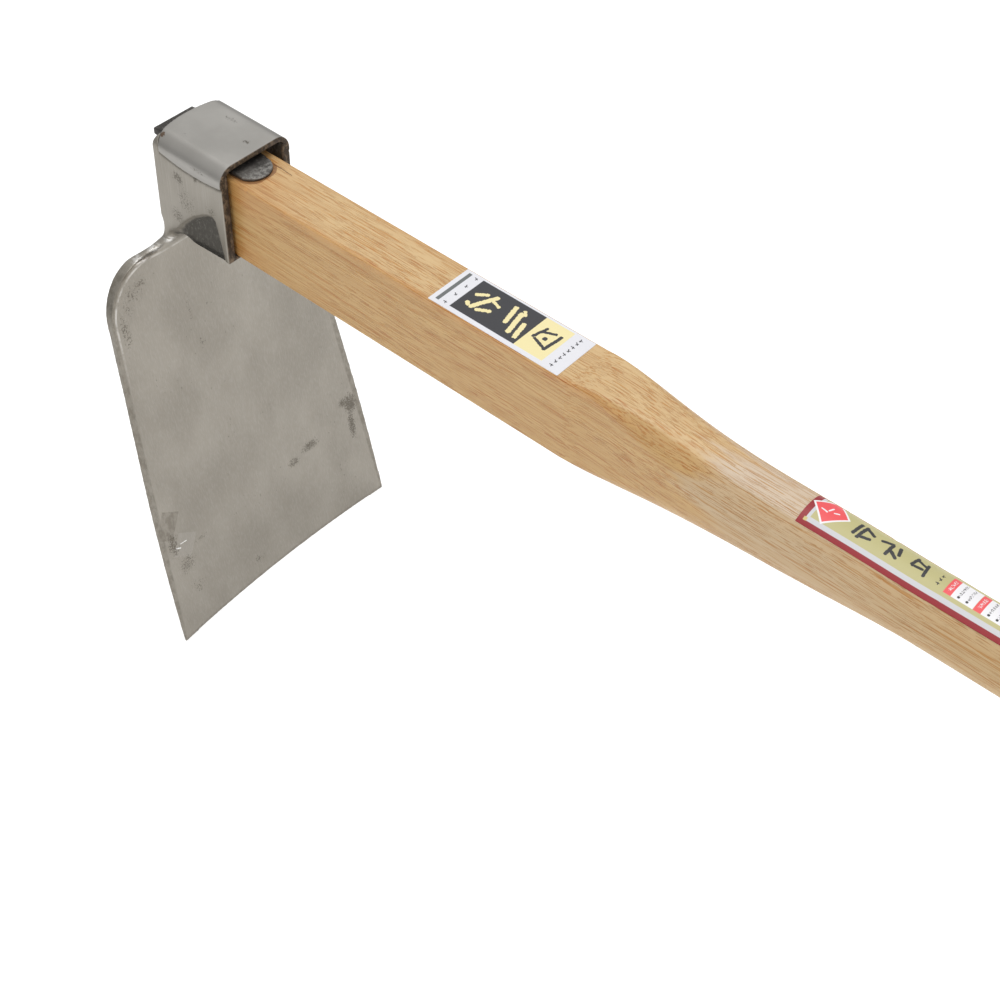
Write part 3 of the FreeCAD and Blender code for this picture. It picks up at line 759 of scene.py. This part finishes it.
labelLook = {
    "paper": (0.70, 0.70, 0.74),
    "paperPale": (0.75, 0.75, 0.78),
    "bar": (0.13, 0.14, 0.14),
    "charcoal": (0.030, 0.030, 0.035),
    "cream": (0.82, 0.72, 0.38),
    "roughness": 0.38,
}
labelMarks = {  # along, across, half length, half width, turn, rounding; in mm
    "bar": [(147.5, 0.4, 1.0, 13.3, 0, 0.1)],
    "panel": [(177.0, 0.8, 21.2, 13.3, 0, 0.1)],
    "creamPanel": [(207.2, 0.8, 9.0, 13.3, 0, 0.1)],
    "brush": [
        (167.0, 1.5, 0.2, 7.6, 24, 1.2), (162.6, 5.2, 3.0, 0.2, -38, 0.9), (170.6, -3.8, 3.4, 0.2, -30, 1.0),
        (172.8, 4.2, 2.6, 0.1, 18, 0.8), (161.0, -4.6, 1.0, 0.1, 40, 1.0), (183.2, 3.4, 0.2, 6.2, -12, 1.1),
        (188.6, 0.0, 0.2, 7.4, -12, 1.2), (194.0, -3.0, 0.2, 5.4, -12, 1.1), (188.2, 8.8, 1.6, 0.1, 52, 0.8),
    ],
    "darkBrush": [
        (202.6, 3.0, 0.1, 4.6, 14, 0.8), (207.2, -3.4, 4.2, 0.1, 20, 0.8), (206.6, 5.8, 3.4, 0.1, -24, 0.8),
        (212.4, 1.0, 0.1, 6.4, 6, 0.9), (207.4, 1.0, 0.4, 0.4, 0, 0.9),
    ],
    "topRow": (-11.6, -3.6, 4.6, 12.6),
    "endRow": (-11.4, -8.0, -4.6, -1.2, 2.2, 5.6, 9.0, 12.0),
}


def tinyMarks(x, spots, size):  # small cross-like marks in a row across the film
    marks = []
    for number, y in enumerate(spots):
        turn = 37 * number % 90
        marks.append((x, y, size, 0.05, turn, 0.22))
        marks.append((x + 0.3 * size, y - 0.3 * size, size * 0.8, 0.05, turn + 75, 0.2))
    return marks


def paint(tree, coords, colour, layers):  # print each layer's strokes over what is under it
    for strokes, tone, ragged in layers:
        colour = blend(tree, inked(tree, coords, strokes, ragged), colour, tone)
    return colour


def makePaper():
    material, tree, shader = newMaterial("labelPrint")
    coords = toolSpace(tree)
    colour = blend(tree, noise(tree, coords, (60, 60, 60)), labelLook["paper"], labelLook["paperPale"])
    rows = tinyMarks(152.1, labelMarks["topRow"], 1.0) + tinyMarks(221.6, labelMarks["endRow"], 1.0)
    colour = paint(tree, coords, colour, (
        (labelMarks["bar"], labelLook["bar"], 0.0),
        (labelMarks["panel"], labelLook["charcoal"], 0.0),
        (labelMarks["creamPanel"], labelLook["cream"], 0.0),
        (rows, labelLook["charcoal"], 0.2),
        (labelMarks["brush"], labelLook["cream"], 1.4),
        (labelMarks["darkBrush"], labelLook["charcoal"], 1.2),
    ))
    feed(tree, shader, {"Base Color": colour, "Roughness": labelLook["roughness"]})
    return material


gripLook = {
    "border": (0.27, 0.009, 0.016),
    "borderPale": (0.30, 0.012, 0.020),
    "silver": (0.58, 0.58, 0.60),
    "gold": (0.60, 0.50, 0.20),
    "olive": (0.49, 0.45, 0.21),
    "badge": (0.80, 0.085, 0.095),
    "white": (0.82, 0.81, 0.83),
    "ink": (0.028, 0.028, 0.030),
    "roughness": 0.42,
}
gripMarks = {  # along, across, half length, half width, turn, rounding; in mm
    "silver": [(466.0, 1.0, 96.6, 9.0, 0, 0.3)],
    "olive": [(466.0, 2.6, 95.0, 8.2, 0, 0.3)],
    "gold": [(369.3, -7.6, 0.7, 0.7, 0, 0.2), (562.7, -7.6, 0.7, 0.7, 0, 0.2)],
    "badgeEdge": [(376.4, 3.6, 6.9, 6.9, 45, 0.2)],
    "badge": [(376.4, 3.6, 6.1, 6.1, 45, 0.1)],
    "badgeInk": [
        (373.6, 1.6, 1.6, 0.1, 10, 0.3), (376.0, 4.0, 0.1, 1.5, 20, 0.3), (379.2, 3.4, 1.2, 0.1, -30, 0.3),
    ],
    "brush": [
        (391.2, 2.4, 0.1, 3.8, 8, 0.8), (394.0, 2.0, 0.1, 4.4, 8, 0.8), (397.2, 4.4, 2.4, 0.1, 28, 0.8),
        (396.6, -0.6, 2.2, 0.1, -16, 0.8), (406.0, 4.6, 2.6, 0.1, -22, 0.8), (408.6, 1.4, 0.1, 3.6, 4, 0.8),
        (411.4, -0.4, 2.0, 0.1, 34, 0.8), (413.0, 3.4, 0.1, 2.4, -14, 0.8), (421.0, 3.6, 0.1, 3.0, 12, 0.7),
        (423.4, 0.8, 2.4, 0.1, -8, 0.7), (424.6, 4.4, 2.6, 0.1, 16, 0.7), (427.4, 1.8, 0.1, 3.8, -6, 0.7),
    ],
    "sizeRow": (-1.0, 1.8, 4.6),
}
panels = {"start": 0.439, "length": 0.015, "count": 6}  # small panels below the large marks
panelMarks = {  # in mm from the panel's start
    "heading": [(2.0, 2.4, 1.9, 6.0, 0, 0.1)],
    "field": [(9.4, 2.4, 5.4, 6.0, 0, 0.1)],
    "dots": [(7.0, -2.0, 0.1, 0.1, 0, 0.55), (11.2, -2.0, 0.1, 0.1, 0, 0.55)],
    "lines": [(7.0, 3.4, 0.1, 3.9, 0, 0.62), (11.2, 3.4, 0.1, 3.9, 0, 0.62)],
    "headingLine": [(2.0, 2.4, 0.4, 3.4, 0, 0.5)],
}


def withPanels(tree, coords, colour):  # one panel's marks, repeated along the film
    x, y, z = axes(tree, coords)
    past = minus(tree, x, panels["start"])
    inPanel = maths(tree, "MODULO", past, panels["length"])
    again = place(tree, "ShaderNodeCombineXYZ", {"X": inPanel, "Y": y}).outputs[0]
    listed = times(tree, maths(tree, "GREATER_THAN", past, 0.0),
                   maths(tree, "LESS_THAN", past, panels["length"] * panels["count"]))
    broken = fade(tree, noise(tree, coords, (1300, 1300, 0), 3, 0.7), 0.50, 0.56)
    writing = times(tree, listed, broken)
    for title, tone, where in (("heading", "badge", listed), ("field", "white", listed),
                               ("dots", "ink", listed), ("lines", "ink", writing),
                               ("headingLine", "white", writing)):
        mask = times(tree, inked(tree, again, panelMarks[title]), where)
        colour = blend(tree, mask, colour, gripLook[tone])
    return colour


def makeGripPaper():
    material, tree, shader = newMaterial("gripPrint")
    coords = toolSpace(tree)
    colour = blend(tree, noise(tree, coords, (60, 60, 60)), gripLook["border"], gripLook["borderPale"])
    colour = paint(tree, coords, colour, (
        (gripMarks["silver"], gripLook["silver"], 0.0),
        (gripMarks["olive"], gripLook["olive"], 0.0),
        (gripMarks["gold"], gripLook["gold"], 0.0),
        (gripMarks["badgeEdge"], gripLook["white"], 0.0),
        (gripMarks["badge"], gripLook["badge"], 0.0),
        (gripMarks["badgeInk"], gripLook["white"], 0.4),
        (gripMarks["brush"], gripLook["ink"], 0.7),
        (tinyMarks(434.8, gripMarks["sizeRow"], 0.8), gripLook["ink"], 0.2),
    ))
    colour = withPanels(tree, coords, colour)
    feed(tree, shader, {"Base Color": colour, "Roughness": gripLook["roughness"]})
    return material


# studio

studio = {
    "camera": (0.57409, -0.49948, 0.55505),  # in the tool's frame
    "cameraTurn": (42.504, -2.279, 40.345),
    "lens": 59.707,
    "floor": (0.60, 0.60, 0.60),
    "floorShade": (0.591, 0.591, 0.591),
    "floorSize": 14,
    "floorGlow": 0.62,
    "skyLow": 0.42,
    "skyHigh": 0.85,
    "lights": [  # title, place, aim, size, power
        ("overhead", (0.3, 0.4, 2.6), (0, 0, 0.1), 2.2, 24),
        ("frontLeft", (0.6, -2.2, 1.6), (-0.2, 0, 0.15), 1.6, 6),
    ],
}


def makeCamera():
    data = bpy.data.cameras.new("camera")
    data.sensor_width = 36
    data.lens = studio["lens"]
    data.clip_start = 0.05
    camera = bpy.data.objects.new("camera", data)
    bpy.context.scene.collection.objects.link(camera)
    turn = Euler([math.radians(angle) for angle in studio["cameraTurn"]])
    camera.matrix_world = lay @ Matrix.Translation(studio["camera"]) @ turn.to_matrix().to_4x4()
    bpy.context.scene.camera = camera


def makeFloor():
    bpy.ops.mesh.primitive_plane_add(size=studio["floorSize"], location=(0, 0, 0))
    floor = bpy.context.object
    floor.name = "floor"
    material, tree, shader = newMaterial("floorPaper")
    coords = place(tree, "ShaderNodeTexCoord").outputs["Object"]
    tone = blend(tree, noise(tree, coords, (3, 3, 3)), studio["floor"], studio["floorShade"])
    feed(tree, shader, {"Base Color": tone, "Roughness": 0.9,
                        "Emission Color": (1, 1, 1, 1), "Emission Strength": studio["floorGlow"]})
    finishWith(floor, material)


def makeLight(title, spot, aim, size, power):
    data = bpy.data.lights.new(title, "AREA")
    data.shape = "DISK"
    data.size = size
    data.energy = power
    light = bpy.data.objects.new(title, data)
    light.location = spot
    light.rotation_euler = (Vector(aim) - Vector(spot)).to_track_quat("-Z", "Y").to_euler()
    bpy.context.scene.collection.objects.link(light)


def makeSky():
    world = bpy.data.worlds.new("sky")
    bpy.context.scene.world = world
    world.use_nodes = True
    tree = world.node_tree
    x, y, z = axes(tree, place(tree, "ShaderNodeTexCoord").outputs["Generated"])
    tone = blend(tree, fade(tree, z, -0.1, 0.75), (studio["skyLow"],) * 3, (studio["skyHigh"],) * 3)
    feed(tree, tree.nodes["Background"], {"Color": tone})


makeCamera()
makeFloor()
makeSky()
for light in studio["lights"]:
    makeLight(*light)
bpy.context.scene.view_settings.view_transform = "Standard"
print("studio is set")

makeHead(makeForgedSteel())
makeStrap(makeStrapSteel())
makeWedge(makeDarkIron())
finishWith(frame["nodes"]["handle"], makeWood())
finishWith(frame["nodes"]["handle_label"], makePaper())
finishWith(frame["nodes"]["grip_label"], makeGripPaper())
print("pieces are made")
